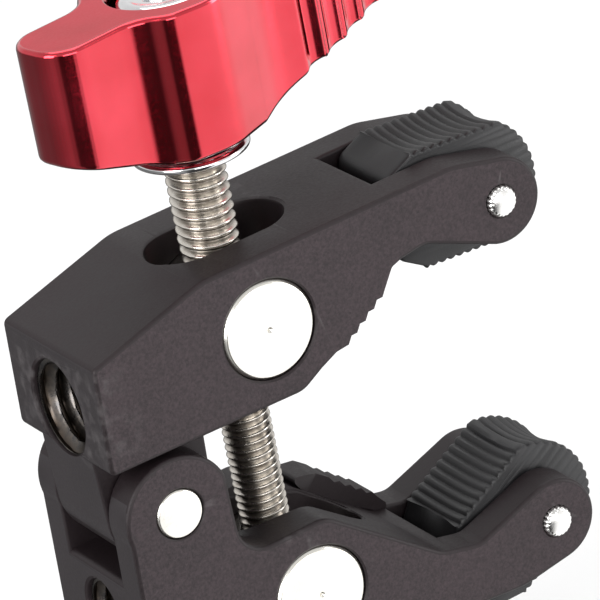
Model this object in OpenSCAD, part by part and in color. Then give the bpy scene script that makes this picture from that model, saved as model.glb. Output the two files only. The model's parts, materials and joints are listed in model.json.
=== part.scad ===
// Crab-jaw super clamp: two aluminium jaws on one hinge pin, drawn together by a
// two-handed screw through a pair of trunnions, with a ratcheting adjustable lever.
// Frame: origin at the mouth of the 3/8 inch hole in the upper jaw's rear face,
// +X towards the jaw tips, +Z up through the lever, Y along the hinge pin.

/* [Jaws] */
// Width of both jaws along the hinge pin
body_w = 18; // [17:0.5:20]
// Distance from the hinge pin to each trunnion
arm_len = 19.3; // [19:0.1:19.6]
// Angle of the upper trunnion above the jaws' rear-to-tip line
arm_deg = 49.5; // [49:0.5:50]
// How far the lower jaw stands closed from the mirror image of the upper one
close_deg = 3.8; // [3:0.1:4.5]
// Width of the tongue that the upper jaw puts between the lower jaw's ears
tongue_w = 10.2; // [10:0.1:10.6]
// Clear width of the fork that holds each pad
fork_w = 10; // [9.8:0.1:10.4]
// Clear width of the slots that the screw passes through
slot_w = 8; // [7.6:0.1:8.2]

/* [Tripod threads] */
// Wall diameter of the upper jaw's threaded hole, 3/8 inch size
thread_upper_d = 9.6; // [9.55:0.05:9.7]
// Wall diameter of the lower jaw's threaded hole, 1/4 inch size
thread_lower_d = 6.4; // [6.4:0.05:6.5]
// Depth of both threaded holes
thread_depth = 8.5; // [7:0.5:8.5]

/* [Pins and screw] */
// Diameter of the hinge pin
hinge_pin_d = 5; // [4.8:0.1:5.2]
// Diameter of both trunnions
trunnion_d = 10; // [9.8:0.1:10.2]
// Diameter of the pins that hold the pads
pad_pin_d = 3; // [2.9:0.1:3.1]
// Diameter of the screw's upper, left-hand thread
screw_upper_d = 6; // [5.8:0.1:6.2]
// Diameter of the screw's lower, right-hand thread
screw_lower_d = 5; // [4.8:0.1:5.2]
// Radial gap of a running fit
run_gap = 0.05; // [0.03:0.01:0.08]

/* [Pads] */
// Width of each rubber pad
pad_w = 9.4; // [9:0.1:9.4]
// Thickness of each rubber pad
pad_t = 12.2; // [11.8:0.1:12.4]
// How far the lower pad's inner end has sunk into its jaw
lower_pad_deg = 30; // [24:1:31]

/* [Lever] */
// Direction of the lever's long arm, turned from the jaw tips
lever_deg = 12; // [0:1:45]
// Reach of the long arm from the screw's axis
long_reach = 33; // [30:1:36]
// Reach of the short arm from the screw's axis
short_reach = 16.3; // [15:0.1:17]
// Radius of the lever's hub
hub_r = 7.2; // [7:0.1:7.6]
// Teeth of the ratchet spline
spline_teeth = 20; // [16:1:24]

/* [Hidden] */
$fn = 96;

// The hinge axis in the frame of the rear hole
hinge_at = [6.4, 0, -10.6];
// Pad pin and fork, in a jaw's own frame with the hinge at [0, 0]
tip = [39.5, 18.8];
tip_r = 4.4;
fork_x = 28.2;
ear_r = 5.8;
tongue_r = 5.8;
pocket_w = tongue_w + 0.3;
pocket_floor = 6.2;
trunnion_at = [arm_len * cos(arm_deg), arm_len * sin(arm_deg)];
// The line through both trunnions leans by half of the closed angle
lean_deg = close_deg / 2;
trunnion_gap = 2 * arm_len * sin(arm_deg - lean_deg);
// Heights along the screw from the upper trunnion's centre
step_s = -9.5;
screw_end_s = -trunnion_gap - 10.5;
ring_s = screw_end_s + 1.6;
washer_s = 16;
washer_t = 1.1;
collar_s = washer_s + washer_t;
lever_s = 18.1;
spline_s = 18.4;
spline_top_s = 22.5;
shelf_t = 1.5;
head_s = 29.9;
head_t = 2.5;
lever_top_s = 32.9;
spline_r = 4.5;
spline_h = 0.45;
recess_r = 5;
eps = 0.5;

// ---- outlines ----

// A polygon's corners [x, z, radius] with each corner turned into an arc
function unit(v) = v / norm(v);
function corner(a, b, c, r, n = 7) =
    let (u = unit(a - b), v = unit(c - b), half = acos(u * v) / 2,
        m = b + unit(u + v) * r / sin(half),
        p = b + u * r / tan(half) - m, q = b + v * r / tan(half) - m,
        start = atan2(p[1], p[0]), raw = atan2(q[1], q[0]) - start,
        turn = raw > 180 ? raw - 360 : raw < -180 ? raw + 360 : raw)
    [for (k = [0:n]) m + r * [cos(start + turn * k / n), sin(start + turn * k / n)]];
function xz(p) = [p[0], p[1]];
function rounded(pts) = let (n = len(pts))
    [for (i = [0:n - 1]) let (b = pts[i])
        each b[2] == 0 ? [xz(b)] : corner(xz(pts[(i + n - 1) % n]), xz(b), xz(pts[(i + 1) % n]), b[2])];

// Saw teeth of height h along the line from p to q, on its left side
function teeth(p, q, n, h) = let (side = unit([p[1] - q[1], q[0] - p[0]]))
    [for (i = [0:n - 1]) for (k = [0, 1])
        let (at = p + (q - p) * (i + 0.6 * k) / n + side * h * k) [at[0], at[1], 0]];

// The outer side and the tip are the same on both jaws, seen as the upper one
outer_side = [[6.2, 21.85, 7], [34.6, 24.05, 7], [40.3, 23.1, 0], [tip[0], tip[1], 0],
    [38.3, 14.57, 0]];
throat_start = [30.6, 17.3, 2.5];
serration = teeth([25.5, 14.5], [20, 10.2], 5, 0.35);
upper_outline = rounded(concat([[-6.4, 6.1, 0.6], [-6.4, 17.15, 0.8]], outer_side,
    [throat_start, [26.6, 16.4, 0.8]], serration, [[19.2, 10, 0.3], [15.2, 7.35, 3]]));
lower_outline = rounded(concat([[-5.6, -0.1, 0], [-6.6, 16.6, 0.8]], outer_side,
    [throat_start, [26.4, 16.3, 3], [14.8, 7.1, 3], [5.5, 7.3, 3], [5.5, -0.1, 0]]));
tongue_outline = [[-6.4, 8], [-5.8, 0], [5.8, 0], [5.8, 9]];
// Serrated rail on the lower jaw's far wall
rail_outline = rounded(concat([[19.6, 11.5, 0], [27.6, 17, 0], [28.4, 16.4, 0.4]],
    teeth([27.4, 15.1], [22, 10.6], 5, 0.3), [[21.3, 9.7, 0.5], [18.7, 9.3, 0.4]]));

// Ribbed outline of a pad, with its pin at [0, 0]
rib_h = 0.35;
flat_z = pad_t / 2 - rib_h;
nose_r = 7;
nose_deg = 52;
pad_outline = concat(teeth([-6.9, flat_z], [3.1, flat_z], 10, rib_h),
    [for (i = [0:23]) (nose_r - (i % 2) * rib_h)
        * [cos(nose_deg * (1 - i / 11.5)), sin(nose_deg * (1 - i / 11.5))]],
    teeth([3.5, -flat_z], [-6.5, -flat_z], 10, rib_h),
    [[-6.9, -flat_z], [-9.3, -4.4], [-9.8, -3], [-9.8, 3], [-9.3, 4.4]]);

// Plan of the lever, long arm towards +X
grip_half = 6;
short_half = 4;
lever_half = rounded([[-short_reach, 0, 0], [-short_reach, short_half, 3.4], [-6.8, short_half, 4],
    [-4.6, 6.6, 2.4], [0, hub_r + 0.3, 7], [8.5, 5, 9], [15, grip_half + 0.2, 9],
    [long_reach, 5.4, 5], [long_reach, 0, 0]]);
lever_plan = concat(lever_half, [for (i = [len(lever_half) - 2:-1:1])
    [lever_half[i][0], -lever_half[i][1]]]);
// Side view of the lever: its underside rises away from the hub
lever_side = [[-20, 22.6], [-6, lever_s], [5, lever_s], [40, 30.3], [40, 40], [-20, 40]];

// ---- frames and shared shapes ----

module at_hinge() translate(hinge_at) children();
// The lower jaw is the mirror image of the upper one, closed by a few degrees
module as_lower() at_hinge() rotate([0, -close_deg, 0]) mirror([0, 0, 1]) children();
module on_screw() at_hinge() translate([trunnion_at[0], 0, trunnion_at[1]])
    rotate([0, -lean_deg, 0]) children();
// Extrude an X-Z outline evenly to both sides of the mid-plane
module plate(w) rotate([90, 0, 0]) linear_extrude(w, center = true) children();
// A round bar or bore along the hinge direction
module cross(at, d, w) translate([at[0], 0, at[1]]) rotate([90, 0, 0])
    cylinder(d = d, h = w, center = true);
// A slot with round ends, cut right through a jaw
module screw_slot(x0, x1) translate([0, 0, -5]) linear_extrude(40) {
    translate([x0 + slot_w / 2, -slot_w / 2]) square([x1 - x0 - slot_w, slot_w]);
    for (x = [x0 + slot_w / 2, x1 - slot_w / 2]) translate([x, 0]) circle(d = slot_w);
}
// The fork is open to the tip, and its rear corners are rounded
module fork() translate([fork_x, 0, 5]) linear_extrude(30)
    polygon(rounded([[0, -fork_w / 2, 1], [40, -fork_w / 2, 0], [40, fork_w / 2, 0],
        [0, fork_w / 2, 1]]));
module spline(r, h) linear_extrude(h)
    polygon([for (i = [0:4 * spline_teeth - 1]) let (a = i * 90 / spline_teeth)
        (r + (i % 4 < 2 ? spline_h : 0)) * [cos(a), sin(a)]]);

// ---- jaws ----

module upper_jaw() color("dimgray") at_hinge() difference() {
    union() {
        plate(body_w) polygon(upper_outline);
        cross(tip, 2 * tip_r, body_w);
        plate(tongue_w) polygon(tongue_outline);
        cross([0, 0], 2 * tongue_r, tongue_w);
    }
    cross([0, 0], hinge_pin_d + 2 * run_gap, body_w);
    cross(trunnion_at, trunnion_d + 2 * run_gap, body_w + 1);
    cross(tip, pad_pin_d + 0.2, body_w + 1);
    fork();
    screw_slot(5.7, 20.2);
    translate([-6.4 - eps, 0, -hinge_at[2]]) rotate([0, 90, 0])
        cylinder(d = thread_upper_d, h = thread_depth + eps);
}

module lower_jaw() color("dimgray") difference() {
    union() {
        as_lower() plate(body_w) polygon(lower_outline);
        as_lower() cross(tip, 2 * tip_r, body_w);
        as_lower() cross([0, 0], 2 * ear_r, body_w);
        as_lower() translate([0, (body_w + slot_w) / 4, 0]) plate((body_w - slot_w) / 2)
            polygon(rail_outline);
    }
    as_lower() cross([0, 0], hinge_pin_d, body_w + 1);
    as_lower() cross(trunnion_at, trunnion_d + 2 * run_gap, body_w + 1);
    as_lower() cross(tip, pad_pin_d + 0.2, body_w + 1);
    as_lower() translate([-12, -pocket_w / 2, -12]) cube([24, pocket_w, 12 + pocket_floor]);
    as_lower() fork();
    as_lower() screw_slot(6, 22.4);
    at_hinge() translate([-9, 0, -11.4]) rotate([0, 90, 0])
        cylinder(d = thread_lower_d, h = 9 - 5.5 + thread_depth);
}

// ---- pins and trunnions ----

module hinge_pin() color("gainsboro") at_hinge() cross([0, 0], hinge_pin_d, body_w);

// A cross bar with chamfered ends, a centre mark on each end and a bore for the screw
module trunnion(bore_d) difference() {
    rotate([90, 0, 0]) union() {
        cylinder(d = trunnion_d, h = body_w - 0.7, center = true);
        for (side = [0, 1]) mirror([0, 0, side]) translate([0, 0, body_w / 2 - 0.35])
            cylinder(d1 = trunnion_d, d2 = trunnion_d - 0.7, h = 0.35);
    }
    cylinder(d = bore_d, h = trunnion_d + 2, center = true);
    for (side = [0, 1]) mirror([0, side, 0]) translate([0, body_w / 2 - 0.25, 0])
        rotate([-90, 0, 0]) cylinder(d1 = 0.1, d2 = 0.8, h = 0.35);
}
module upper_trunnion() color("silver") on_screw() trunnion(screw_upper_d + 0.2);
module lower_trunnion() color("silver") on_screw() translate([0, 0, -trunnion_gap])
    trunnion(screw_lower_d + 0.2);

// A plain pin whose two ends are knurled where they sit in the jaw
module pad_pin() for (side = [0, 1]) mirror([0, side, 0]) rotate([-90, 0, 0]) {
    cylinder(d = pad_pin_d, h = pad_w / 2 + 0.2);
    translate([0, 0, pad_w / 2 + 0.2]) linear_extrude(body_w / 2 + 0.6 - pad_w / 2 - 0.2)
        polygon([for (i = [0:35]) (pad_pin_d / 2 + (i % 2) * 0.13) * [cos(10 * i), sin(10 * i)]]);
}
module upper_pad_pin() color("gainsboro") at_hinge() translate([tip[0], 0, tip[1]]) pad_pin();
module lower_pad_pin() color("gainsboro") as_lower() translate([tip[0], 0, tip[1]]) pad_pin();

// ---- screw ----

module clamp_screw() color("silver") on_screw() {
    translate([0, 0, step_s]) cylinder(d = screw_upper_d, h = 18.9 - step_s);
    difference() {
        translate([0, 0, screw_end_s]) cylinder(d = screw_lower_d, h = step_s - screw_end_s);
        translate([0, 0, ring_s]) difference() {
            cylinder(d = screw_lower_d + 1, h = 0.9);
            cylinder(d = screw_lower_d - 1, h = 0.9);
        }
    }
}

// Snap ring in the groove at the screw's lower end
module end_stop_ring() color("silver") on_screw() translate([0, 0, ring_s + 0.05]) difference() {
    cylinder(r = 3.3, h = 0.8);
    translate([0, 0, -1]) cylinder(d = screw_lower_d - 1, h = 3);
    translate([-0.9, 0, -1]) cube([1.8, 6, 3]);
}

// ---- lever ----

module lever_washer() color("silver") on_screw() translate([0, 0, washer_s]) difference() {
    cylinder(r = 5.75, h = washer_t - 0.1);
    translate([0, 0, -1]) cylinder(d = screw_upper_d + 2 * run_gap, h = 4);
}

module ratchet_hub() color("silver") on_screw() difference() {
    union() {
        translate([0, 0, collar_s]) cylinder(r = 4.9, h = spline_s - collar_s);
        translate([0, 0, spline_s]) rotate([0, 0, lever_deg])
            spline(spline_r, spline_top_s - spline_s);
    }
    translate([0, 0, 16]) cylinder(d = screw_upper_d, h = 3);
    translate([0, 0, 18.9]) cylinder(d = 4, h = 5);
}

module flutes() for (i = [0:6]) for (side = [-1, 1])
    translate([12.6 + 2.6 * i, side * (grip_half + 0.62 - 0.045 * i), 0])
        cylinder(r = 1.25, h = 50, $fn = 32);

module lever_handle() color("crimson") on_screw() rotate([0, 0, lever_deg]) difference() {
    intersection() {
        linear_extrude(lever_top_s) polygon(lever_plan);
        plate(40) polygon(lever_side);
    }
    flutes();
    translate([0, 0, spline_top_s + 0.1 + shelf_t]) cylinder(r = recess_r, h = 20);
    cylinder(r = 2.3, h = 40);
    translate([0, 0, 10]) cylinder(r = 5.15, h = spline_s + 1.2 - 10);
    translate([0, 0, 10]) spline(spline_r + 0.15, spline_top_s + 0.1 - 10);
}

// Compression spring between the lever's shelf and the head of the cap screw
spring_turns = 3;
wire_r = 0.3;
spring_low = spline_top_s + 0.1 + shelf_t + wire_r + 0.05;
spring_high = head_s - wire_r - 0.05;
spring_sides = 8;
spring_rings = 54;
function spring_point(i, j) =
    let (a = 360 * spring_turns * i / spring_rings, b = 360 * j / spring_sides,
        r = 3.5 + wire_r * cos(b))
    [r * cos(a), r * sin(a), spring_low + (spring_high - spring_low) * i / spring_rings
        + wire_r * sin(b)];
module lever_spring() color("lightgray") on_screw() polyhedron(
    [for (i = [0:spring_rings]) for (j = [0:spring_sides - 1]) spring_point(i, j)],
    concat([[for (j = [0:spring_sides - 1]) j]],
        [[for (j = [spring_sides - 1:-1:0]) spring_rings * spring_sides + j]],
        [for (i = [0:spring_rings - 1]) for (j = [0:spring_sides - 1]) let (k = (j + 1) % spring_sides)
            [i * spring_sides + j, (i + 1) * spring_sides + j, (i + 1) * spring_sides + k,
                i * spring_sides + k]]));

// Round head in the lever's recess, with a hexagon socket
module lever_cap_screw() color("silver") on_screw() difference() {
    union() {
        translate([0, 0, head_s]) cylinder(r = 4.4, h = head_t - 0.6);
        translate([0, 0, head_s + head_t - 0.6]) cylinder(r1 = 4.4, r2 = 3.8, h = 0.6);
        translate([0, 0, 19]) cylinder(d = 4, h = head_s - 19);
    }
    translate([0, 0, head_s + 0.8]) cylinder(d = 3.5, h = 5, $fn = 6);
}

// ---- pads ----

module pad() difference() {
    plate(pad_w) polygon([for (p = pad_outline) xz(p)]);
    cross([0, 0], pad_pin_d + 2 * run_gap, pad_w + 1);
}
module upper_pad() color("black") at_hinge() translate([tip[0], 0, tip[1]]) pad();
module lower_pad() color("black") as_lower() translate([tip[0], 0, tip[1]])
    rotate([0, lower_pad_deg, 0]) pad();

upper_jaw();
lower_jaw();
hinge_pin();
upper_trunnion();
lower_trunnion();
clamp_screw();
end_stop_ring();
lever_washer();
ratchet_hub();
lever_handle();
lever_spring();
lever_cap_screw();
upper_pad();
lower_pad();
upper_pad_pin();
lower_pad_pin();
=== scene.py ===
"""Looks of a crab-jaw super clamp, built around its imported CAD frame. Metres, in the row frame."""
import json
import math

import bmesh
import bpy
import numpy as np
from mathutils import Matrix, Vector
from mathutils.geometry import tessellate_polygon


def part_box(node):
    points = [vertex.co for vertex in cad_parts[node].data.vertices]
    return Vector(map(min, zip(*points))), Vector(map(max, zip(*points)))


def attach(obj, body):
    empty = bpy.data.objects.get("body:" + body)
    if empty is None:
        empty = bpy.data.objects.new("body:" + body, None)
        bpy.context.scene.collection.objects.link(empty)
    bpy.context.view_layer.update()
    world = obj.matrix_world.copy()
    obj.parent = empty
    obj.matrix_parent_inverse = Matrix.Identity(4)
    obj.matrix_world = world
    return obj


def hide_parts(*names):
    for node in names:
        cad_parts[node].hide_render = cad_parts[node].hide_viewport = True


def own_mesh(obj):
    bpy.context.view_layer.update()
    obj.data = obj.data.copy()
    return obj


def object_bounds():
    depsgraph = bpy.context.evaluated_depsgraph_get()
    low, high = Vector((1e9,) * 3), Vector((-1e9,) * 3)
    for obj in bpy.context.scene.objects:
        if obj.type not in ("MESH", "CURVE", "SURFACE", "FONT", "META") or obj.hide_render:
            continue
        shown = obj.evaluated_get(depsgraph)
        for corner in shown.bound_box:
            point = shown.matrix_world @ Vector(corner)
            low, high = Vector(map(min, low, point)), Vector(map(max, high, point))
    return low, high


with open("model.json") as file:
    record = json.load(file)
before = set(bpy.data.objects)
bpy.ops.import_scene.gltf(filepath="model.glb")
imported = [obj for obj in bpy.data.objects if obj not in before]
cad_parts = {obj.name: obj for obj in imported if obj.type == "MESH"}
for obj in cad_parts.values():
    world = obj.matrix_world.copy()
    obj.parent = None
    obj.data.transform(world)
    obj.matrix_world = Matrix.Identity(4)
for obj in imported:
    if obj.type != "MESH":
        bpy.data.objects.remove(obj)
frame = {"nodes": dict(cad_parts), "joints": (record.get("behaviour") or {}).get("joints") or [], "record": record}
cad_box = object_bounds()
MM = 0.001
joints = {j["name"]: j for j in frame["joints"]}
hinge = Vector(joints["jaw_hinge"]["pos_m"])
upper_t = Vector(joints["upper_trunnion_tilt"]["pos_m"])
lower_t = Vector(joints["lower_trunnion_tilt"]["pos_m"])
upper_pin = Vector(joints["upper_pad_pivot"]["pos_m"])
lower_pin = Vector(joints["lower_pad_pivot"]["pos_m"])
axis = (upper_t - lower_t).normalized()
gap = (upper_t - lower_t).length / MM

# Screw frame in millimetres: origin in the upper trunnion, Z up the screw
side = Vector((0, 1, 0)).cross(axis)
upright = Matrix((side, (0, 1, 0), axis)).transposed().to_4x4()
SCREW = Matrix.Translation(upper_t) @ upright @ Matrix.Scale(MM, 4)


# ---------------------------------------------------------------- materials

class Nodes:
    """A material's nodes, with a short way to add one."""

    def __init__(self, name, **shader):
        self.mat = bpy.data.materials.new(name)
        self.mat.use_nodes = True
        self.tree = self.mat.node_tree
        self.bsdf = self.tree.nodes["Principled BSDF"]
        self.put(self.bsdf, shader)
        self.mat.diffuse_color = (0.5, 0.5, 0.5, 1)

    def put(self, node, values):
        for key, value in values.items():
            socket = node.inputs[key]
            if isinstance(value, bpy.types.NodeSocket):
                self.tree.links.new(value, socket)
            else:
                socket.default_value = value

    def add(self, kind, props=None, out=0, **values):
        node = self.tree.nodes.new("ShaderNode" + kind)
        for key, value in (props or {}).items():
            setattr(node, key, value)
        self.put(node, {k.replace("_", " "): v for k, v in values.items()})
        return node.outputs[out]

    def math(self, op, a, b=0.0, clamp=False):
        node = self.tree.nodes.new("ShaderNodeMath")
        node.operation = op
        node.use_clamp = clamp
        self.put(node, {0: a, 1: b})
        return node.outputs[0]

    def vec(self, op, a, b=(0, 0, 0), out=0):
        node = self.tree.nodes.new("ShaderNodeVectorMath")
        node.operation = op
        self.put(node, {0: a, 1: b})
        return node.outputs[out]

    def ramp(self, fac, low, high, a=0.0, b=1.0):
        node = self.tree.nodes.new("ShaderNodeMapRange")
        self.put(node, {"Value": fac, "From Min": low, "From Max": high, "To Min": a, "To Max": b})
        return node.outputs[0]

    def mix(self, fac, a, b):
        node = self.tree.nodes.new("ShaderNodeMix")
        node.data_type = "RGBA"
        self.put(node, {0: fac, 6: a, 7: b})
        return node.outputs[2]

    def coords(self):
        return self.add("TexCoord", out=3)

    def noise(self, scale, detail=2.0, vector=None, rough=0.5):
        return self.add("TexNoise", Vector=vector or self.coords(), Scale=scale, Detail=detail,
                        Roughness=rough)

    def edges(self, low=0.51, high=0.56):
        return self.ramp(self.add("NewGeometry", out=7), low, high)

    def bump(self, height, distance, strength=1.0):
        return self.add("Bump", Height=height, Distance=distance, Strength=strength)

    def radius(self, centre, direction):
        """Distance from an axis, for marks left by turning."""
        off = self.vec("SUBTRACT", self.coords(), tuple(centre))
        return self.vec("LENGTH", self.vec("CROSS_PRODUCT", off, tuple(direction)), out=1)


def rgb(r, g, b):
    return (r, g, b, 1)


def anodised(name, base, rough, speckle, bump):
    """Dark anodised, blasted aluminium: fine grain, cloudy sheen, paler edges from wear."""
    n = Nodes(name, Metallic=0.1)
    n.put(n.bsdf, {"Specular IOR Level": 0.36})
    grain = n.noise(3600, 3, rough=0.6)
    cloud = n.noise(160, 3)
    pits = n.add("TexVoronoi", Vector=n.coords(), Scale=2600.0)
    tone = n.math("ADD", n.ramp(grain, 0.3, 0.7, -speckle, speckle), n.ramp(cloud, 0.35, 0.65, -0.06, 0.06))
    dark = tuple(c * 0.45 for c in base[:3]) + (1,)
    light = tuple(min(1, c * 1.8) for c in base[:3]) + (1,)
    body = n.mix(n.math("ADD", tone, 0.42, clamp=True), dark, light)
    curvature_tint = n.math("MULTIPLY", n.edges(0.55, 0.64), n.ramp(n.noise(700, 3), 0.45, 0.7, 0.0, 0.4))
    n.put(n.bsdf, {
        "Base Color": n.mix(curvature_tint, body, rgb(0.12, 0.11, 0.112)),
        "Roughness": n.math("ADD", n.ramp(grain, 0.3, 0.7, rough - 0.07, rough + 0.07),
                            n.ramp(cloud, 0.3, 0.7, -0.04, 0.04)),
        "Normal": n.bump(n.math("ADD", grain, n.math("MULTIPLY", pits, 0.4)), bump, 0.8),
    })
    return n.mat


def plated(name, base, rough, centre=None, direction=(0, 1, 0), rings=0.5, hollow_colour=(0.3, 0.25, 0.2)):
    """Bright nickel or chrome, with turning marks about an axis, fine scratches and a dull film."""
    n = Nodes(name, Metallic=1.0)
    film = n.noise(420, 4, rough=0.65)
    stretched = n.add("Mapping", Vector=n.coords(), Scale=(900, 3200, 900))
    scratch = n.noise(1.0, 2, vector=stretched)
    height = n.math("MULTIPLY", scratch, 0.25)
    if centre is not None:
        r = n.radius(centre, direction)
        turned = n.add("TexNoise", {"noise_dimensions": "1D"}, W=n.math("MULTIPLY", r, 14000.0), Scale=1.0,
                       Detail=3.0)
        height = n.math("ADD", height, n.math("MULTIPLY", turned, rings))
    # Concave corners, found by pointiness, are mixed towards a darker brown.
    curvature_tint = n.ramp(n.edges(0.47, 0.40), 0, 1, 0, 0.75)
    colour = n.mix(n.ramp(film, 0.45, 0.75, 0.0, 0.22), base, tuple(c * 0.72 for c in base[:3]) + (1,))
    n.put(n.bsdf, {
        "Base Color": n.mix(curvature_tint, colour, rgb(*hollow_colour)),
        "Roughness": n.ramp(film, 0.3, 0.75, rough - 0.05, rough + 0.1),
        "Normal": n.bump(height, 0.000012, 0.6),
    })
    return n.mat


def threaded(name, base):
    """Nickel-plated screw steel: painted shade darkens the grooves brown-black by their depth, crests are bright.
    """
    n = Nodes(name, Metallic=1.0)
    groove = n.add("Attribute", {"attribute_name": "groove"}, out=2)
    film = n.noise(900, 4, rough=0.7)
    # Painted shade: the deeper in a groove, the darker brown-black the colour.
    groove_shade = n.math("MULTIPLY", n.ramp(groove, 0.35, 1.0), n.ramp(film, 0.3, 0.7, 0.55, 1.0))
    colour = n.mix(n.ramp(film, 0.4, 0.8, 0, 0.4), base, rgb(0.5, 0.42, 0.34))
    n.put(n.bsdf, {
        "Base Color": n.mix(groove_shade, colour, rgb(0.075, 0.055, 0.04)),
        "Roughness": n.math("ADD", n.ramp(film, 0.3, 0.8, 0.16, 0.32), n.math("MULTIPLY", groove, 0.12)),
        "Normal": n.bump(film, 0.00002, 0.5),
    })
    return n.mat


def rubber(name):
    n = Nodes(name)
    grain = n.noise(5200, 3, rough=0.6)
    dust = n.noise(240, 4)
    curvature_tint = n.math("MULTIPLY", n.edges(0.52, 0.6), n.ramp(dust, 0.4, 0.7, 0.1, 0.6))
    base = n.mix(n.ramp(dust, 0.4, 0.75, 0, 0.6), rgb(0.009, 0.0085, 0.0095), rgb(0.021, 0.02, 0.022))
    n.put(n.bsdf, {
        "Base Color": n.mix(curvature_tint, base, rgb(0.05, 0.05, 0.052)),
        "Roughness": n.ramp(dust, 0.3, 0.7, 0.36, 0.52),
        "Normal": n.bump(grain, 0.00003, 0.5),
    })
    return n.mat


def red_anodised(name, rough, coat):
    n = Nodes(name, Metallic=1.0)
    n.put(n.bsdf, {"Coat Weight": coat, "Coat Roughness": 0.07, "Coat IOR": 1.5})
    brush = n.noise(1.0, 3, vector=n.add("Mapping", Vector=n.coords(), Scale=(160, 160, 4200)))
    cloud = n.noise(110, 3)
    fine = n.noise(4200, 2)
    base = n.mix(n.ramp(cloud, 0.3, 0.7), rgb(0.58, 0.01, 0.024), rgb(0.72, 0.032, 0.06))
    # Painted highlight: convex edges are mixed towards bright pink.
    curvature_tint = n.math("MULTIPLY", n.edges(0.535, 0.62), n.ramp(n.noise(500, 3), 0.4, 0.7, 0.05, 0.6))
    n.put(n.bsdf, {
        "Base Color": n.mix(curvature_tint, base, rgb(0.95, 0.3, 0.34)),
        "Roughness": n.math("ADD", n.ramp(cloud, 0.3, 0.7, rough - 0.02, rough + 0.03),
                            n.ramp(fine, 0.3, 0.7, -0.03, 0.03)),
        "Normal": n.bump(n.math("ADD", brush, n.math("MULTIPLY", fine, 0.6)), 0.000008, 0.5),
    })
    return n.mat


# The satin base colour is about half the blasted one: painted shade on the tops and other satin faces. Grain,
# speckle and roughness of the three finishes differ as well.
jaw_side = anodised("jaw_blasted", rgb(0.032, 0.0225, 0.0255), 0.52, 0.34, 0.00003)
jaw_top = anodised("jaw_satin_painted_shade", rgb(0.0165, 0.011, 0.0125), 0.48, 0.16, 0.000012)
jaw_rear = anodised("jaw_milled", rgb(0.03, 0.0255, 0.0275), 0.38, 0.08, 0.000008)
warm = rgb(0.93, 0.905, 0.84)
mats = {
    "trunnion_up": plated("nickel_upper_trunnion", warm, 0.2, upper_t),
    "trunnion_low": plated("nickel_lower_trunnion", warm, 0.2, lower_t),
    "hinge": plated("nickel_hinge_pin", warm, 0.2, hinge),
    "pin_up": plated("nickel_upper_pin", rgb(0.86, 0.85, 0.83), 0.2, upper_pin),
    "pin_low": plated("nickel_lower_pin", rgb(0.86, 0.85, 0.83), 0.2, lower_pin),
    "chrome": plated("chrome_stack", rgb(0.84, 0.84, 0.85), 0.1, upper_t, axis, 0.35),
    "screw": threaded("screw_nickel", rgb(0.74, 0.7, 0.64)),
    "socket": threaded("thread_in_jaw", rgb(0.1, 0.098, 0.1)),
    "rubber": rubber("pad_rubber_moulded"),
    "red": red_anodised("lever_red_polished", 0.15, 1.0),
    "red_top": red_anodised("lever_red_satin", 0.34, 0.25),
    "spring": plated("spring_wire", rgb(0.6, 0.6, 0.62), 0.25),
}


# ---------------------------------------------------------------- mesh tools

def piece(name, mesh, body, nodes=(), materials=()):
    obj = bpy.data.objects.new(name, mesh)
    bpy.context.scene.collection.objects.link(obj)
    for m in materials:
        mesh.materials.append(m)
    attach(obj, body)
    if nodes:
        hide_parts(*nodes)
    return obj


def mesh_from(verts, faces, matrix, groove=None):
    mesh = bpy.data.meshes.new("m")
    mesh.from_pydata([matrix @ Vector(v) for v in verts], [], faces)
    if groove is not None:
        mesh.attributes.new("groove", "FLOAT", "POINT").data.foreach_set("value", groove)
    bm = bmesh.new()
    bm.from_mesh(mesh)
    bmesh.ops.recalc_face_normals(bm, faces=bm.faces)
    bm.to_mesh(mesh)
    bm.free()
    return mesh


def smooth(mesh, degrees=35):
    mesh.polygons.foreach_set("use_smooth", [True] * len(mesh.polygons))
    mesh.set_sharp_from_angle(angle=math.radians(degrees))
    return mesh


def revolve(rows, matrix, seg=96, loop=True, degrees=35):
    """rows is [(z, radius function or number, groove function or number)], joined end to end as a
    closed section when loop is set, or closed by two discs."""
    verts, groove, faces = [], [], []
    for z, r, g in rows:
        for i in range(seg):
            t = 2 * math.pi * i / seg
            rr = r(t) if callable(r) else r
            verts.append((rr * math.cos(t), rr * math.sin(t), z))
            groove.append(g(t) if callable(g) else g)
    n = len(rows)
    for j in range(n if loop else n - 1):
        a, b = j * seg, ((j + 1) % n) * seg
        for i in range(seg):
            k = (i + 1) % seg
            faces.append((a + i, a + k, b + k, b + i))
    if not loop:
        faces.append(tuple(range(seg)))
        faces.append(tuple((n - 1) * seg + i for i in range(seg)))
    return smooth(mesh_from(verts, faces, matrix, groove), degrees)


def section(points, soft=0.0):
    """A lathe section [(r, z)] with small roundings at its corners."""
    rows = []
    n = len(points)
    for i, (r, z) in enumerate(points):
        b = np.array((r, z), float)
        u = np.array(points[i - 1], float) - b
        v = np.array(points[(i + 1) % n], float) - b
        cut = min(soft, np.linalg.norm(u) * 0.4, np.linalg.norm(v) * 0.4)
        p, q = b + u / np.linalg.norm(u) * cut, b + v / np.linalg.norm(v) * cut
        for t in (0, 0.33, 0.67, 1):
            x = (1 - t) ** 2 * p + 2 * t * (1 - t) * b + t * t * q
            rows.append((x[1], float(x[0]), 0.0))
    return rows


def thread_profile(pitch, hand, depth, major, z, inner=False, fade=1.0):
    """Radius of a V thread at height z, as a function of the angle; and how deep in the groove it is."""
    def groove(t):
        f = (z / pitch - hand * t / (2 * math.pi)) % 1.0
        v = abs(2 * f - 1)
        return float(np.clip((1 - v) * 1.28 - 0.14, 0, 1)) * fade
    if inner:
        # Inside a hole the whole thread gets at least 0.4 of the painted groove shade.
        return (lambda t: major - depth + depth * groove(t)), (lambda t: 0.4 + 0.6 * groove(t))
    return (lambda t: major - depth * groove(t)), groove


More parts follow.
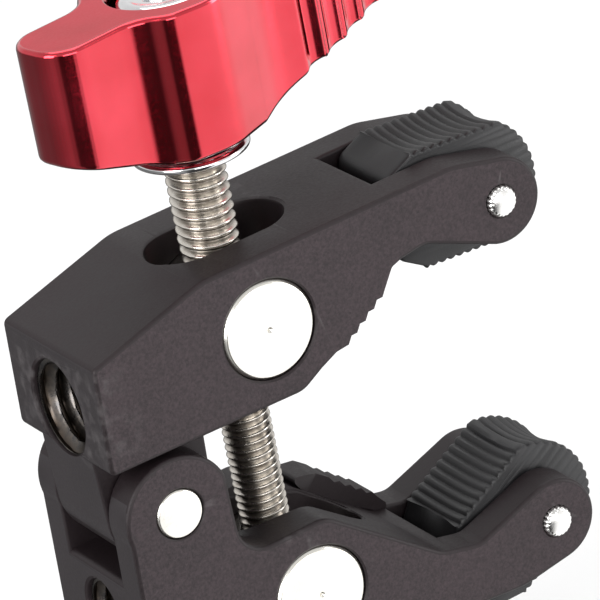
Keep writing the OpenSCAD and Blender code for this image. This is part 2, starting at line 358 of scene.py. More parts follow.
def cad_solid(node, grow=0.0):
    """A CAD node's mesh with its flat faces joined up again."""
    src = frame["nodes"][node].data
    bm = bmesh.new()
    points = [bm.verts.new(v.co) for v in src.vertices]
    bm.verts.ensure_lookup_table()
    for p in src.polygons:
        try:
            bm.faces.new([points[i] for i in p.vertices])
        except ValueError:
            pass
    bmesh.ops.remove_doubles(bm, verts=bm.verts, dist=2e-6)
    bmesh.ops.dissolve_limit(bm, angle_limit=math.radians(0.5), verts=bm.verts, edges=bm.edges)
    bmesh.ops.recalc_face_normals(bm, faces=bm.faces)
    return bm


def bevelled(bm, width, weight, segments=3, angle=32):
    """Rounds the sharp edges that weight(edge) keeps, by its share of width."""
    mesh = bpy.data.meshes.new("m")
    layer = bm.edges.layers.float.get("bevel_weight_edge") or bm.edges.layers.float.new("bevel_weight_edge")
    for e in bm.edges:
        if len(e.link_faces) == 2 and e.calc_face_angle(0) > math.radians(angle):
            e[layer] = weight(e)
    bm.to_mesh(mesh)
    bm.free()
    smooth(mesh, angle)
    obj = bpy.data.objects.new("bevel_work", mesh)
    bpy.context.scene.collection.objects.link(obj)
    mod = obj.modifiers.new("b", "BEVEL")
    mod.limit_method = "WEIGHT"
    mod.width = width * MM
    mod.segments = segments
    mod.use_clamp_overlap = False
    mod.harden_normals = True
    mod.miter_outer = "MITER_ARC"
    return apply(obj)


def apply(obj):
    bpy.context.view_layer.update()
    out = bpy.data.meshes.new_from_object(obj.evaluated_get(bpy.context.evaluated_depsgraph_get()))
    bpy.data.objects.remove(obj)
    return out


def cut(mesh, *cutters):
    """Boolean difference, exact."""
    obj = bpy.data.objects.new("cut_work", mesh)
    bpy.context.scene.collection.objects.link(obj)
    tools = []
    for c in cutters:
        tool = bpy.data.objects.new("cutter_work", c)
        bpy.context.scene.collection.objects.link(tool)
        mod = obj.modifiers.new("c", "BOOLEAN")
        mod.object = tool
        mod.solver = "EXACT"
        tools.append(tool)
    out = apply(obj)
    for tool in tools:
        bpy.data.objects.remove(tool)
    return out


def unit(v):
    return v / np.linalg.norm(v)


def rounded(points, steps=8):
    """Corners [x, y, radius] of an outline, each turned into an arc."""
    out = []
    for i, (x, y, r) in enumerate(points):
        b = np.array((x, y), float)
        if r == 0:
            out.append(b)
            continue
        u = unit(np.array(points[i - 1][:2], float) - b)
        v = unit(np.array(points[(i + 1) % len(points)][:2], float) - b)
        half = math.acos(float(u @ v)) / 2
        m = b + unit(u + v) * r / math.sin(half)
        p, q = b + u * r / math.tan(half) - m, b + v * r / math.tan(half) - m
        start = math.atan2(p[1], p[0])
        turn = (math.atan2(q[1], q[0]) - start + math.pi) % (2 * math.pi) - math.pi
        for k in range(steps + 1):
            a = start + turn * k / steps
            out.append(m + r * np.array((math.cos(a), math.sin(a))))
    return out


# ---------------------------------------------------------------- jaws, cut in millimetres

def work(mesh):
    obj = bpy.data.objects.new("work", mesh)
    bpy.context.scene.collection.objects.link(obj)
    return obj


def triangles(mesh):
    bm = bmesh.new()
    bm.from_mesh(mesh)
    bmesh.ops.triangulate(bm, faces=bm.faces)
    bm.to_mesh(mesh)
    bm.free()
    return mesh


def combine(first, parts, how):
    """Boolean of one closed mesh with several, in turn."""
    obj = work(triangles(first))
    tools = []
    for part in parts:
        tools.append(work(triangles(part)))
        mod = obj.modifiers.new("b", "BOOLEAN")
        mod.object, mod.operation, mod.solver = tools[-1], how, "MANIFOLD"
    out = apply(obj)
    for tool in tools:
        bpy.data.objects.remove(tool)
    return out


def soft_plate(outline, place, y0, y1, w0=0.4, w1=0.4, fine=None):
    """An outline [x, z] extruded from y0 to y1 with rounded rims, w0 and w1 wide.
    fine(p) is a share of the rim's width, for small teeth."""
    pts = []
    for a, b in zip(outline, outline[1:] + outline[:1]):
        n = max(1, int(np.linalg.norm(b - a) / 1.4))
        pts += [a + (b - a) * k / n for k in range(n)]
    pts = np.array([p for k, p in enumerate(pts) if np.linalg.norm(p - pts[k - 1]) > 0.01])
    e = np.roll(pts, -1, 0) - pts
    e /= np.linalg.norm(e, axis=1)[:, None]
    area = np.sum(pts[:, 0] * np.roll(pts[:, 1], -1) - np.roll(pts[:, 0], -1) * pts[:, 1])
    out = np.c_[e[:, 1], -e[:, 0]] * (1 if area > 0 else -1)
    mid = out + np.roll(out, 1, 0)
    mid /= np.maximum(0.6, np.sum(mid * mid, axis=1) / 2)[:, None]
    share = np.array([1.0 if fine is None else fine(p) for p in pts])
    rings = []
    for y, w, s in ((y0, w0, 1), (y1, w1, -1)):
        steps = [math.radians(a) for a in ((0, 30, 60, 90) if s > 0 else (90, 60, 30, 0))]
        for a in steps:
            inset = w * share * (1 - math.sin(a))
            depth = w * share * (1 - math.cos(a))
            p = pts - mid * inset[:, None]
            rings.append([(x, y + s * d, z) for (x, z), d in zip(p, depth)])
    n = len(pts)
    verts = [place(x, y, z) for ring in rings for x, y, z in ring]
    faces = [(r * n + k, r * n + (k + 1) % n, (r + 1) * n + (k + 1) % n, (r + 1) * n + k)
             for r in range(len(rings) - 1) for k in range(n)]
    faces += [tuple(range(n)), tuple((len(rings) - 1) * n + k for k in range(n))]
    return mesh_from(verts, faces, Matrix.Identity(4))


def arc(cx, cz, r, a0, a1, steps=24):
    return [np.array((cx + r * math.cos(math.radians(a0 + (a1 - a0) * k / steps)),
                      cz + r * math.sin(math.radians(a0 + (a1 - a0) * k / steps)))) for k in range(steps + 1)]


H = hinge / MM
CLOSE = math.radians(3.8)


def in_upper(x, y, z):
    return (x + H.x, y, z + H.z)


def in_lower(x, y, z):
    """The lower jaw's own frame is the upper one's mirror image, closed by 3.8 degrees."""
    c, s = math.cos(CLOSE), math.sin(CLOSE)
    return (x * c + z * s + H.x, y, x * s - z * c + H.z)


def teeth(p, q, count, height):
    """Corners of a row of saw teeth from p to q, standing up on the left of that line."""
    p, q = np.array(p, float), np.array(q, float)
    n = unit(np.array((p[1] - q[1], q[0] - p[0])))
    return [[*(p + (q - p) * (i + 0.6 * k) / count + n * height * k), 0]
            for i in range(count) for k in (0, 1)]


TIP = (39.5, 18.8)  # pad pin in a jaw's own frame
FORK = 28.2  # where the pad's fork starts
HALF = 9.0  # half the jaws' width
PAD_ROOM = 5.0  # half the fork's gap
RIM = 0.4  # rounding of the jaws' rims
SLOT_R = 4  # half the screw slot's width
EAR_ROOM = 5.25  # half the gap between the lower jaw's hinge ears
HINGE_R = 5.8  # outer radius of the ears and the tongue


def serrated(x0, x1):
    return lambda p: 0.2 if x0 < p[0] < x1 and p[1] < 17.2 else 1.0


def tip_walls(place):
    """The two fork walls that carry a pad, rounded along both faces."""
    line = rounded([[26.9, 23.453, 0], [34.6, 24.05, 7], [40.3, 23.1, 0]])[:-1]
    line += arc(*TIP, 4.4, 79.5, -105.8, 40)
    line += rounded([[38.3, 14.57, 0], [30.6, 17.3, 2.5], [26.9, 16.47, 0]])[1:]
    return [soft_plate(line, place, -HALF, -PAD_ROOM, RIM, 0.35),
            soft_plate(line, place, PAD_ROOM, HALF, 0.35, RIM)]


def along_y(cx, cz, place, r, chamfer, reach=HALF):
    """Cutter for a bore along the hinge direction, with chamfered mouths."""
    x, _, z = place(cx, 0, cz)
    turn = Matrix.Translation(Vector((x, 0, z))) @ Matrix.Rotation(math.radians(-90), 4, "X")
    c = chamfer
    rows = [(-reach - 1, r + c + 1, 0), (-reach, r + c, 0), (-reach + c, r, 0), (reach - c, r, 0),
            (reach, r + c, 0), (reach + 1, r + c + 1, 0)]
    return revolve(rows, turn, 96, loop=False)


def slot_cutter(place, x0, x1, top, bottom):
    """Cutter for the screw's slot: round ends, and mouths that flare over the last 0.4 mm."""
    verts, faces, seg = [], [], 64
    levels = [(1.4, lambda x: top(x) + 3), (0.4, top), (0.1, lambda x: top(x) - 0.15),
              (0, lambda x: top(x) - 0.4), (0, lambda x: bottom(x) + 0.4),
              (0.1, lambda x: bottom(x) + 0.15), (0.4, bottom), (1.4, lambda x: bottom(x) - 3)]
    last = len(levels) - 1
    for grow, z_of in levels:
        for k in range(seg):
            t = 2 * math.pi * (k + 0.5) / seg
            cx = x1 - SLOT_R if math.cos(t) > 0 else x0 + SLOT_R
            x, y = cx + (SLOT_R + grow) * math.cos(t), (SLOT_R + grow) * math.sin(t)
            verts.append(place(x, y, z_of(min(max(x, x0), x1))))
    for r in range(last):
        faces += [(r * seg + k, r * seg + (k + 1) % seg, (r + 1) * seg + (k + 1) % seg, (r + 1) * seg + k)
                  for k in range(seg)]
    faces += [tuple(range(seg)), tuple(last * seg + k for k in range(seg))]
    bm = bmesh.new()
    mesh = mesh_from(verts, faces, Matrix.Identity(4))
    bm.from_mesh(mesh)
    bmesh.ops.triangulate(bm, faces=[f for f in bm.faces if len(f.verts) > 4])
    bmesh.ops.recalc_face_normals(bm, faces=bm.faces)
    bm.to_mesh(mesh)
    bm.free()
    return mesh


def hole_cutter(mount):
    """Cutter for a blind tripod hole, with a chamfered mouth and a drill's cone at its end."""
    m = [x for x in frame["record"]["mounts"] if x["name"] == mount][0]
    r, length = m["dims"]["r_mm"], m["dims"]["length_mm"]
    turn = Matrix.Translation(Vector(m["pos_m"]) / MM) @ Matrix.Rotation(math.radians(90), 4, "Y")
    rows = [(-1, r + 1.4, 0), (0, r + 0.4, 0), (0.12, r + 0.16, 0), (0.4, r, 0), (length, r, 0),
            (length + 0.8, r - 2.4, 0)]
    return revolve(rows, turn, 96, loop=False)


def finish_jaw(mesh, node):
    """Shades a jaw: blasted flanks, a milled rear face and satin everywhere else, the satin faces darker as
    painted shade.
    """
    mesh.transform(Matrix.Scale(MM, 4))
    smooth(mesh, 33)
    obj = work(mesh)
    mod = obj.modifiers.new("w", "WEIGHTED_NORMAL")
    mod.mode, mod.weight, mod.keep_sharp = "FACE_AREA", 60, True
    mesh = apply(obj)
    mesh.materials.clear()
    for m in (jaw_top, jaw_side, jaw_rear):
        mesh.materials.append(m)
    for p in mesh.polygons:
        c, n = p.center / MM, p.normal
        if abs(n.y) > 0.97 and abs(c.y) > HALF - 0.1:
            p.material_index = 1
        elif n.x < -0.9 and c.x < 2:
            p.material_index = 2
        else:
            p.material_index = 0
    return piece(node + "_body", mesh, node, [node])


outer = [[6.2, 21.85, 7], [FORK, 23.554, 0.7], [FORK, 16.76, 0.7]]
body = soft_plate(rounded([[-6.4, 6.1, 0.7], [-6.4, 17.15, 0.8]] + outer + [[26.6, 16.4, 0.8]]
                          + teeth([25.5, 14.5], [20, 10.2], 5, 0.35) + [[19.2, 10, 0.3], [15.2, 7.35, 3]]),
                  in_upper, -HALF, HALF, fine=serrated(18.6, 27.2))
tongue = soft_plate([np.array(p, float) for p in ((-6.35, 8), (-5.8, 0))] + arc(0, 0, HINGE_R, 182, 358, 40)
                    + [np.array(p, float) for p in ((5.8, 0), (5.8, 9))], in_upper, -5.1, 5.1, 0.3, 0.3)
body = combine(body, tip_walls(in_upper) + [tongue], "UNION")
trunnion_own = (19.3 * math.cos(math.radians(49.5)), 19.3 * math.sin(math.radians(49.5)))
body = combine(body, [
    along_y(*trunnion_own, in_upper, 5.06, 0.18), along_y(*TIP, in_upper, 1.6, 0.15),
    slot_cutter(in_upper, 5.7, 20.2, lambda x: 21.37 + 0.0775 * x + min(0, x - 6.2) * 0.3,
                lambda x: 6.1 + 0.058 * (x + 6.4) if x < 15.2 else 7.35 + 0.66 * (x - 15.2)),
    hole_cutter("rear_thread_3_8")], "DIFFERENCE")
finish_jaw(body, "upper_jaw")

body = soft_plate(rounded([[-5.98, 6.2, 0.7], [-6.6, 16.6, 0.8]] + outer + [[26.4, 16.3, 3], [14.8, 7.1, 3],
                                                                     [5.6, 7.3, 0.4], [5.5, 6.2, 0.7]]),
                  in_lower, -HALF, HALF)
ear = rounded([[-6.13, 8.8, 0], [-5.68, 1.2, 0]]) + arc(0, 0, HINGE_R, 168, 341.5, 48)[1:] \
    + rounded([[5.5, -1.84, 0], [5.5, 7.3, 3], [11.0, 7.182, 0], [11.0, 8.8, 0]])[1:]
ears = [soft_plate(ear, in_lower, -HALF, -EAR_ROOM, RIM, 0.3),
        soft_plate(ear, in_lower, EAR_ROOM, HALF, 0.3, RIM)]
rail = soft_plate(rounded([[19.6, 11.5, 0], [27.6, 17, 0], [28.4, 16.4, 0.4]]
                          + teeth([27.4, 15.1], [22, 10.6], 5, 0.3)
                          + [[21.3, 9.7, 0.5], [18.7, 9.3, 0.4]]),
                  in_lower, 4.4, HALF - 0.1, 0.15, 0.3, serrated(19, FORK))
body = combine(body, tip_walls(in_lower) + ears + [rail], "UNION")
body = combine(body, [
    along_y(*trunnion_own, in_lower, 5.06, 0.18), along_y(*TIP, in_lower, 1.6, 0.15),
    along_y(0, 0, in_lower, 2.56, 0.12),
    slot_cutter(in_lower, 6.0, 22.4, lambda x: 21.37 + 0.0775 * x,
                lambda x: 7.2 if x < 14.8 else 7.2 + 0.793 * (x - 14.8)),
    hole_cutter("lower_thread_1_4")], "DIFFERENCE")
finish_jaw(body, "lower_jaw")


# Helical threads inside both tripod holes
def socket(name, body, mount, major, pitch):
    m = [x for x in frame["record"]["mounts"] if x["name"] == mount][0]
    centre, length = Vector(m["pos_m"]), m["dims"]["length_mm"]
    place = Matrix.Translation(centre) @ Matrix.Rotation(math.radians(90), 4, "Y") @ Matrix.Scale(MM, 4)
    rows, z = [], 0.55
    while z < length - 0.3:
        fade = min(1.0, (z - 0.5) / 0.6)
        depth = 0.55 * pitch
        r, g = thread_profile(pitch, 1, depth * (0.3 + 0.7 * fade), major - 0.02, z, inner=True)
        rows.append((z, r, g))
        z += pitch / 12
    # The hole's floor gets 0.8 of the painted groove shade and its mouth 0.3: darker deeper in the hole.
    rows.append((length - 0.25, major - 0.62, 0.8))
    rows.append((length - 0.05, major - 0.62, 0.8))
    rows += [(length - 0.05, major, 0.8), (0.5, major, 0.3), (0.5, major - 0.06, 0.3)]
    return piece(name, revolve(rows, place, 72), body, [], [mats["socket"]])


socket("thread_rear", "upper_jaw", "rear_thread_3_8", 4.8, 25.4 / 16)
socket("thread_lower", "lower_jaw", "lower_thread_1_4", 3.2, 25.4 / 20)


# ---------------------------------------------------------------- pins and trunnions

def turned(node, body, material, width):
    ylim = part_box(node)[1].y - 0.0004

    def weight(e):
        return 1.0 if min(abs(v.co.y) for v in e.verts) > ylim and e.calc_length() > 0.00008 else 0.0

    mesh = bevelled(cad_solid(node), width, weight, 2, 25)
    mesh.materials.append(mats[material])
    return piece(node + "_bright", mesh, body, [node])


turned("upper_trunnion", "upper_trunnion", "trunnion_up", 0.07)
turned("lower_trunnion", "lower_trunnion", "trunnion_low", 0.07)

PIN = Matrix.Translation(hinge) @ Matrix.Rotation(math.radians(-90), 4, "X") @ Matrix.Scale(MM, 4)
half_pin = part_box("hinge_pin")[1].y / MM
pin_rows = section([(0.0, -half_pin + 0.03), (2.3, -half_pin), (2.5, -half_pin + 0.22),
                    (2.5, half_pin - 0.22), (2.3, half_pin), (0.0, half_pin - 0.03)], 0.06)
pin_rows = [r for r in pin_rows if r[1] > 0.05]
piece("hinge_pin_bright", revolve(pin_rows, PIN, 72, loop=False), "lower_jaw", ["hinge_pin"],
      [mats["hinge"]])


def knurled(name, node, body, centre, material):
    """Grip pin with a knurled, chamfered end on each side."""
    place = Matrix.Translation(centre) @ Matrix.Rotation(math.radians(-90), 4, "X") @ Matrix.Scale(MM, 4)
    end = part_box(node)[1].y / MM
    rows = []
    for z, r, k in ((-end, 1.18, 0.1), (-end + 0.1, 1.34, 0.5), (-end + 0.34, 1.5, 1), (-5.1, 1.5, 1),
                    (-4.9, 1.5, 0), (4.9, 1.5, 0), (5.1, 1.5, 1), (end - 0.34, 1.5, 1),
                    (end - 0.1, 1.34, 0.5), (end, 1.18, 0.1)):
        def radius(t, r=r, k=k):
            return r + k * 0.12 * (abs(math.cos(9 * t)) ** 0.8 - 0.15)
        rows.append((z, radius, 0.0))
    return piece(name, revolve(rows, place, 144, loop=False, degrees=50), body, [node],
                 [mats[material]])


knurled("upper_pin_knurled", "upper_pad_pin", "upper_jaw", upper_pin, "pin_up")
knurled("lower_pin_knurled", "lower_pad_pin", "lower_jaw", lower_pin, "pin_low")


# ---------------------------------------------------------------- screw

STEP = -9.5  # the shoulder between the two threads
BOTTOM = -gap - 10.5
THIN_PITCH, THICK_PITCH = 0.8, 1.0
THREAD_END = 18.6
# Each row's third value sets the painted shade: thread grooves, the ring groove (0.8) and the shoulder's corner.
rows = [(BOTTOM, 1.9, 0.0), (BOTTOM + 0.1, 2.0, 0.0)]
z = BOTTOM + 0.12
while z < STEP - 0.7:
    in_groove = BOTTOM + 1.6 < z < BOTTOM + 2.5
    edge = min(1.0, (z - BOTTOM) / 0.6)
    fade = min(1.0, (z - BOTTOM - 0.3) / 0.8, (STEP - 0.7 - z) / 0.8)
    r, g = thread_profile(THIN_PITCH, 1, 0.44, 2.5 - 0.4 * (1 - edge), z, fade=max(0.0, fade))
    rows.append((z, 2.02 if in_groove else r, 0.8 if in_groove else g))
    z += THIN_PITCH / 12
rows += [(STEP - 0.6, 2.5, 0.1), (STEP - 0.02, 2.5, 0.3), (STEP, 2.62, 0.1), (STEP + 0.35, 2.95, 0.0)]
z = STEP + 0.4
while z < THREAD_END:
    fade = min(1.0, z - STEP - 0.4, (THREAD_END - z) / 0.8)
    r, g = thread_profile(THICK_PITCH, -1, 0.55, 3.0, z, fade=max(0.0, fade))
    rows.append((z, r, g))
    z += THICK_PITCH / 12
rows += [(18.7, 3.0, 0.0), (18.9, 2.9, 0.0)]
piece("screw_threads", revolve(rows, SCREW, 64, loop=False, degrees=60), "screw",
      ["clamp_screw"], [mats["screw"]])

ring = bevelled(cad_solid("end_stop_ring"), 0.1, lambda e: 1.0, 2)
ring.materials.append(mats["spring"])
piece("snap_ring", ring, "screw", ["end_stop_ring"])


# ---------------------------------------------------------------- lever stack

LEVER_DEG = 12  # the lever's and the spline's turn about the screw at rest
washer = section([(3.06, 16.02), (5.2, 16.02), (5.74, 16.3), (5.74, 16.72), (5.3, 16.98),
                  (3.06, 16.98)], 0.14)
piece("washer_turned", revolve(washer, SCREW, 96), "washer", ["lever_washer"],
      [mats["chrome"]])


def hub_teeth(t):
    """Radius of the hub's 20 spline teeth."""
    f = (t - math.radians(LEVER_DEG)) * 20 / (2 * math.pi)
    return 4.5 + 0.45 * float(np.clip(2.4 * math.sin(2 * math.pi * f) * 0.5 + 0.5, 0, 1))


hub_rows = [(17.12, 3.02, 0), (17.12, 4.7, 0), (17.3, 4.88, 0), (18.1, 4.88, 0), (18.36, 4.7, 0),
            (18.42, 4.5, 0), (18.5, hub_teeth, 0), (22.35, hub_teeth, 0), (22.5, 4.4, 0), (22.5, 2.02, 0),
            (19.0, 2.02, 0), (19.0, 3.02, 0)]
piece("hub_splined", revolve(hub_rows, SCREW, 240), "screw", ["ratchet_hub"],
      [mats["chrome"]])


def cap_socket(t):
    """Radius of the cap screw's hexagon socket."""
    a = (t % (math.pi / 3)) - math.pi / 6
    return 1.52 / math.cos(a)


cap_rows = [(30.7, 0.1, 0), (30.7, cap_socket, 0), (31.95, cap_socket, 0),
            (32.12, lambda t: cap_socket(t) + 0.18, 0), (32.16, 2.5, 0), (32.3, 2.9, 0), (32.4, 3.3, 0),
            (32.36, 3.75, 0), (32.1, 4.16, 0), (31.7, 4.38, 0), (30.1, 4.4, 0), (29.95, 4.3, 0),
            (29.9, 4.2, 0), (29.9, 2.2, 0), (29.7, 2.0, 0), (19.2, 2.0, 0),
            (19.0, 1.8, 0), (19.0, 0.1, 0)]
piece("cap_screw_polished", revolve(cap_rows, SCREW, 96), "screw", ["lever_cap_screw"],
      [mats["chrome"]])

# Spring: a round wire coiled three times.
turns, low, high, wire = 3.0, 24.45, 29.55, 0.3
verts, faces, sides, rings = [], [], 12, 160
for i in range(rings + 1):
    f = i / rings
    a = 2 * math.pi * turns * f
    z = low + (high - low) * f
    for j in range(sides):
        b = 2 * math.pi * j / sides
        r = 3.5 + wire * math.cos(b)
        verts.append((r * math.cos(a), r * math.sin(a), z + wire * math.sin(b)))
for i in range(rings):
    for j in range(sides):
        k = (j + 1) % sides
        faces.append((i * sides + j, i * sides + k, (i + 1) * sides + k, (i + 1) * sides + j))
faces += [tuple(range(sides)), tuple(rings * sides + j for j in range(sides))]
spring = piece("spring_coil", smooth(mesh_from(verts, faces, SCREW)), "screw",
               ["lever_spring"], [mats["spring"]])
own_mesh(spring)

# Lever: plan outline with scalloped grips, extruded, its underside cut on two slopes
REACH, GRIP, HUB, TAIL = 33.0, 6.0, 7.2, -16.3
LEVER_TOP, LEVER_UNDER = 32.9, 18.1
RECESS_FLOOR, RECESS_R, HUB_BORE_TOP, HUB_BORE_R, STEM_R = 24.1, 5.0, 22.6, 5.1, 2.6
half = rounded([[TAIL, 0, 0], [TAIL, 4, 3.4], [-6.8, 4, 4], [-4.6, 6.6, 2.4], [0, HUB + 0.3, 7],
                [8.5, 5, 9], [15, GRIP + 0.2, 9], [REACH, 5.4, 5], [REACH, 0, 0]], 12)
dense = []
for a, b in zip(half, half[1:]):
    n = max(1, int(math.ceil(np.linalg.norm(b - a) / 0.22)))
    dense += [a + (b - a) * i / n for i in range(n)]
dense.append(half[-1])


def scallop(x):
    """Depth of the round finger grooves at x along the lever, fading out at both ends of the row."""
    first, last, pitch, radius = 11.2, 29.6, 2.6, 1.5
    if not first < x < last:
        return 0.0
    off = (x - 12.6 + pitch / 2) % pitch - pitch / 2
    groove = max(0.0, math.sqrt(max(0, radius ** 2 - off * off)) - 0.78)
    return groove * 0.95 * min(1, (x - first) / 0.8, (last - x) / 0.8)


plan = []
for i, p in enumerate(dense):
    t = unit(dense[min(i + 1, len(dense) - 1)] - dense[max(i - 1, 0)])
    inward = np.array((t[1], -t[0]))
    plan.append(p + inward * scallop(p[0]))
plan += [np.array((p[0], -p[1])) for p in plan[-2:0:-1]]

bm = bmesh.new()
low_v = [bm.verts.new((p[0], p[1], 15.0)) for p in plan]
top_v = [bm.verts.new((p[0], p[1], LEVER_TOP)) for p in plan]
n = len(plan)
bm.faces.new(low_v)
bm.faces.new(top_v)
for i in range(n):
    k = (i + 1) % n
    bm.faces.new((low_v[i], low_v[k], top_v[k], top_v[i]))
underside = (((0, 0, LEVER_UNDER), (0, 0, -1)), ((5, 0, LEVER_UNDER), (12.2, 0, -35)),
             ((-6, 0, LEVER_UNDER), (-4.5, 0, -14)))
for point, normal in underside:
    got = bmesh.ops.bisect_plane(bm, geom=bm.verts[:] + bm.edges[:] + bm.faces[:], plane_co=point,
                                 plane_no=normal, clear_outer=True, dist=1e-5)
    loop = [e for e in got["geom_cut"] if isinstance(e, bmesh.types.BMEdge)]
    bmesh.ops.contextual_create(bm, geom=loop)
bmesh.ops.recalc_face_normals(bm, faces=bm.faces)
mesh = bpy.data.meshes.new("m")
bm.to_mesh(mesh)
bm.free()
one = Matrix.Identity(4)
bore = revolve([(10, 0.01, 0), (10, HUB_BORE_R, 0), (HUB_BORE_TOP, HUB_BORE_R, 0), (HUB_BORE_TOP, 0.01, 0)],
               one, 96, loop=False)
stem = revolve([(20, STEM_R, 0), (28, STEM_R, 0)], one, 64, loop=False)
recess = revolve([(RECESS_FLOOR, RECESS_R, 0), (32.55, RECESS_R, 0), (33.2, 5.65, 0)], one, 96, loop=False)
mesh = cut(mesh, recess, bore, stem)
bm = bmesh.new()
bm.from_mesh(mesh)
bmesh.ops.remove_doubles(bm, verts=bm.verts, dist=0.002)
bmesh.ops.transform(bm, matrix=SCREW @ Matrix.Rotation(math.radians(LEVER_DEG), 4, "Z"), verts=bm.verts)


def lever_weight(e):
    """Full rounding on the lever's outside, a little at the recess mouth and none inside."""
    a, b = ((SCREW.inverted() @ v.co) for v in e.verts)
    r = max(math.hypot(a.x, a.y), math.hypot(b.x, b.y))
    if r < 5.9:
        return 0.25 if r > 5.3 else 0.0
    return 1.0


mesh = bevelled(bm, 0.5, lever_weight, 3, 40)
mesh.materials.append(mats["red"])
mesh.materials.append(mats["red_top"])
for p in mesh.polygons:
    if p.normal.dot(axis) > 0.97:
        p.material_index = 1
piece("lever_red", mesh, "lever", ["lever_handle"])


# ---------------------------------------------------------------- rubber pads

def pad(node, body, centre, turn):
    """Moulded pad: rounded ribs across both faces and round the nose, each face a shallow trough."""
    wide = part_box(node)[1].y / MM
    crest, foot = 6.08, 5.82
    line = []

    def ribs(x0, x1, count, sign):
        for i in range(count * 8):
            f = i / 8 % 1
            h = (0.5 + 0.5 * math.cos(2 * math.pi * f)) ** 0.6
            line.append((x0 + (x1 - x0) * i / (count * 8), sign * (foot + (crest - foot) * h), 1.0))
    ribs(-6.8, 3.2, 10, 1)
    for i in range(0, 13 * 6 + 1):
        a = math.radians(57 - 114 * i / (13 * 6))
        h = (0.5 + 0.5 * math.cos(2 * math.pi * i / 6)) ** 0.6
        r = 6.74 + 0.24 * h
        line.append((r * math.cos(a), r * math.sin(a), 0.9))
    ribs(3.2, -6.8, 10, -1)
    line += [(-6.9, -5.75, 0.6), (-9.1, -4.55, 0.2), (-9.5, -4.1, 0.1), (-9.78, -3.0, 0), (-9.78, 3.0, 0),
             (-9.5, 4.1, 0.1), (-9.1, 4.55, 0.2), (-6.9, 5.75, 0.6)]
    pts = np.array([(x, z) for x, z, _ in line])
    dish = np.array([w for _, _, w in line])
    tangent = np.roll(pts, -4, 0) - np.roll(pts, 4, 0)
    normal = np.c_[tangent[:, 1], -tangent[:, 0]]
    normal /= np.linalg.norm(normal, axis=1)[:, None]
    if (normal[3] @ np.array((0, 1))) < 0:
        normal = -normal
    ys = [-wide, -wide + 0.05, -wide + 0.2, -wide + 0.45, -wide + 1.0, -2.6, -1.2, 0, 1.2, 2.6, wide - 1.0,
          wide - 0.45, wide - 0.2, wide - 0.05, wide]
    verts, faces = [], []
    for y in ys:
        edge = wide - abs(y)
        lip = 0.22 if edge < 0.01 else 0.12 if edge < 0.1 else 0.03 if edge < 0.3 else 0.0
        trough = 0.55 * max(0.0, 1 - (abs(y) / (wide - 0.7)) ** 2.2)
        p = pts - normal * (lip + trough * dish)[:, None]
        verts += [(x, y, z) for x, z in p]
    n = len(pts)
    for j in range(len(ys) - 1):
        for i in range(n):
            k = (i + 1) % n
            faces.append((j * n + i, j * n + k, (j + 1) * n + k, (j + 1) * n + i))
    # Side faces with the pin's bore, and the bore's wall
    hole = [(1.56 * math.cos(2 * math.pi * i / 40), 1.56 * math.sin(2 * math.pi * i / 40)) for i in range(40)]
    base = len(verts)
    for y in (-wide, wide):
        verts += [(x, y, z) for x, z in hole]
    for s, (first, ring0) in enumerate(((0, base), ((len(ys) - 1) * n, base + 40))):
        outer = [Vector((verts[first + i][0], verts[first + i][2], 0)) for i in range(n)]
        inner = [Vector((x, z, 0)) for x, z in hole]
        index = [first + i for i in range(n)] + [ring0 + i for i in range(40)]
        faces += [tuple(index[i] for i in tri) for tri in tessellate_polygon([outer, inner])]
    for i in range(40):
        k = (i + 1) % 40
        faces.append((base + i, base + k, base + 40 + k, base + 40 + i))
    place = Matrix.Translation(centre) @ Matrix.Rotation(math.radians(turn), 4, "Y") @ Matrix.Scale(MM, 4)
    mesh = smooth(mesh_from(verts, faces, place), 50)
    return piece(node + "_ribbed", mesh, body, [node], [mats["rubber"]])


pad("upper_pad", "upper_pad", upper_pin, 0)
pad("lower_pad", "lower_pad", lower_pin, -33.8)


# ---------------------------------------------------------------- studio and camera

FLOOR_GAP = 0.012
floor_z = cad_box[0][2] - FLOOR_GAP
n = Nodes("floor_paper", Roughness=0.75)
cloud = n.noise(3, 2)
n.put(n.bsdf, {"Base Color": n.mix(cloud, rgb(0.86, 0.86, 0.86), rgb(0.9, 0.9, 0.9)),
               "Normal": n.bump(n.noise(900, 2), 0.00002, 0.3)})
floor_mesh = mesh_from([(-8, -8, floor_z), (8, -8, floor_z), (8, 12, floor_z), (-8, 12, floor_z)],
                       [(0, 1, 2, 3)], Matrix.Identity(4))
floor_mesh.materials.append(n.mat)
floor = bpy.data.objects.new("floor", floor_mesh)
bpy.context.scene.collection.objects.link(floor)
floor.visible_glossy = False

world = bpy.data.worlds.new("studio")
bpy.context.scene.world = world
world.use_nodes = True
tree = world.node_tree
back = tree.nodes["Background"]
coord = tree.nodes.new("ShaderNodeTexCoord")
split = tree.nodes.new("ShaderNodeSeparateXYZ")
tree.links.new(coord.outputs["Generated"], split.inputs[0])


def world_math(op, a, b=None):
    node = tree.nodes.new("ShaderNodeMath")
    node.operation = op
    tree.links.new(a, node.inputs[0])
    if b is not None:
        tree.links.new(b, node.inputs[1])
    return node.outputs[0]


def world_range(value, a, b, c=0.0, d=1.0):
    node = tree.nodes.new("ShaderNodeMapRange")
    tree.links.new(value, node.inputs[0])
    for k, v in enumerate((a, b, c, d)):
        node.inputs[k + 1].default_value = v
    return node.outputs[0]


def greys(value, stops):
    ramp = tree.nodes.new("ShaderNodeValToRGB")
    tree.links.new(value, ramp.inputs[0])
    line = ramp.color_ramp.elements
    line[0].position, line[1].position = stops[0][0], stops[-1][0]
    line[0].color, line[1].color = rgb(*[stops[0][1]] * 3), rgb(*[stops[-1][1]] * 3)
    for where, value in stops[1:-1]:
        line.new(where).color = rgb(*[value] * 3)
    return ramp.outputs[0]


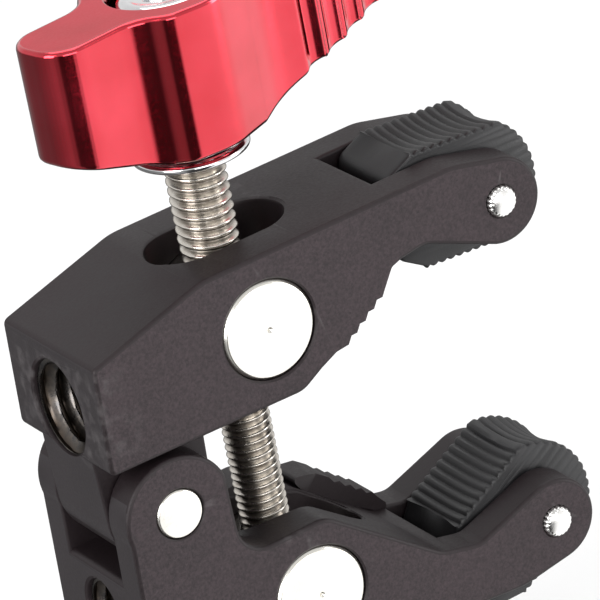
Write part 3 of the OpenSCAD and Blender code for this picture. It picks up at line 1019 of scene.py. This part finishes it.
# Below the horizon the room has bright cards and dark gaps between them; above, one soft tent
bearing = world_range(world_math("ARCTAN2", split.outputs[1], split.outputs[0]), -math.pi, math.pi)
cards = greys(bearing, [(0.0, 0.3), (0.08, 0.42), (0.115, 0.32), (0.15, 0.06), (0.265, 0.04), (0.3, 1.45),
                        (0.42, 1.6), (0.53, 1.4), (0.62, 0.25), (0.9, 0.2), (1.0, 0.3)])
tent = greys(world_range(split.outputs[2], 0.0, 1.0), [(0.0, 0.55), (0.25, 0.95), (1.0, 0.7)])
blend = tree.nodes.new("ShaderNodeMix")
blend.data_type = "RGBA"
tree.links.new(world_range(split.outputs[2], -0.12, 0.12), blend.inputs[0])
tree.links.new(cards, blend.inputs[6])
tree.links.new(tent, blend.inputs[7])
tree.links.new(blend.outputs[2], back.inputs[0])
back.inputs[1].default_value = 0.9

middle = Vector((0.02, 0, -0.002))


def softbox(name, where, size, watts, colour=(1, 1, 1)):
    light = bpy.data.lights.new(name, "AREA")
    light.shape = "RECTANGLE"
    light.size, light.size_y = size
    light.energy = watts
    light.color = colour
    obj = bpy.data.objects.new(name, light)
    bpy.context.scene.collection.objects.link(obj)
    obj.location = where
    obj.rotation_euler = (Vector(where) - middle).to_track_quat("Z", "Y").to_euler()
    return obj


softbox("left_box", (-0.55, -0.22, 0.16), (0.35, 0.5), 3.0)
softbox("front_box", (-0.02, -0.62, 0.02), (0.5, 0.3), 1.6)
softbox("top_box", (0.12, 0.12, 0.6), (0.5, 0.5), 1.6)
softbox("right_strip", (0.5, -0.28, 0.1), (0.12, 0.5), 1.0)

# Camera in millimetres on the photograph's bearing: its right, up and backward directions
cam = bpy.data.cameras.new("camera")
cam.lens, cam.sensor_width = 300, 36
cam.shift_x, cam.shift_y = -0.0148, 0.0085
cam.clip_start, cam.clip_end = 0.01, 40
cam_obj = bpy.data.objects.new("camera", cam)
bpy.context.scene.collection.objects.link(cam_obj)
right = (0.84405, -0.515987, -0.146073)
up = (0.320159, 0.266339, 0.909154)
backward = (-0.430207, -0.814138, 0.390001)
turn = Matrix((right, up, backward)).transposed().to_4x4()
cam_obj.matrix_world = Matrix.Translation(Vector((-179.949, -393.894, 189.478)) * MM) @ turn
bpy.context.scene.camera = cam_obj
bpy.context.scene.view_settings.view_transform = "Standard"
